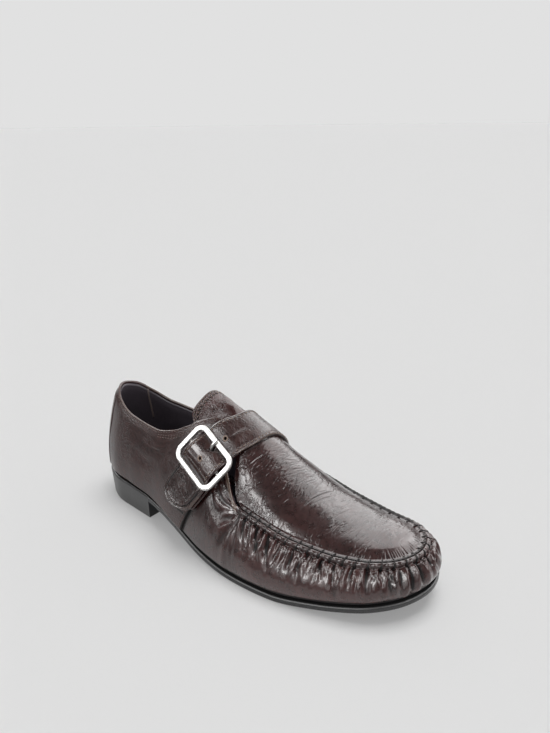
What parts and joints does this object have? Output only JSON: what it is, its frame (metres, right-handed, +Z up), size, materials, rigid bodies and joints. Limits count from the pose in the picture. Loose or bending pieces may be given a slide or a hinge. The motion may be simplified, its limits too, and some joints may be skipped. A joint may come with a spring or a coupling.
{
  "type": "loafer shoe",
  "caption": "Right leather monk strap loafer with a hand-sewn apron toe, a buckled instep strap and a low heel.",
  "frame": {"origin": "on the floor, under the middle of the shoe's bounding box", "axes": "+X towards the toe, +Y towards the inner (medial) side, +Z up"},
  "size_m": [0.2964, 0.1064, 0.1079],
  "materials": {
    "outsole": "black, smooth edge",
    "heel": "black, satin",
    "insole": "dark lining leather",
    "upper": "glossy dark brown leather",
    "tongue": "glossy dark brown leather",
    "quarter_lateral": "glossy dark brown leather",
    "quarter_medial": "glossy dark brown leather",
    "heel_counter": "glossy dark brown leather",
    "strap": "glossy dark brown leather",
    "buckle_tab": "glossy dark brown leather",
    "buckle_frame": "polished steel",
    "buckle_bar": "polished steel",
    "buckle_prong": "polished steel"
  },
  "bodies": {
    "root": {"outsole": "outsole", "heel": "heel", "insole": "insole", "upper": "upper", "tongue": "tongue", "quarter_lateral": "quarter_lateral", "quarter_medial": "quarter_medial", "heel_counter": "heel_counter", "strap": "strap", "buckle_tab": "buckle_tab", "buckle_frame": "buckle_frame", "buckle_bar": "buckle_bar", "buckle_prong": "buckle_prong"}
  },
  "joints": []
}
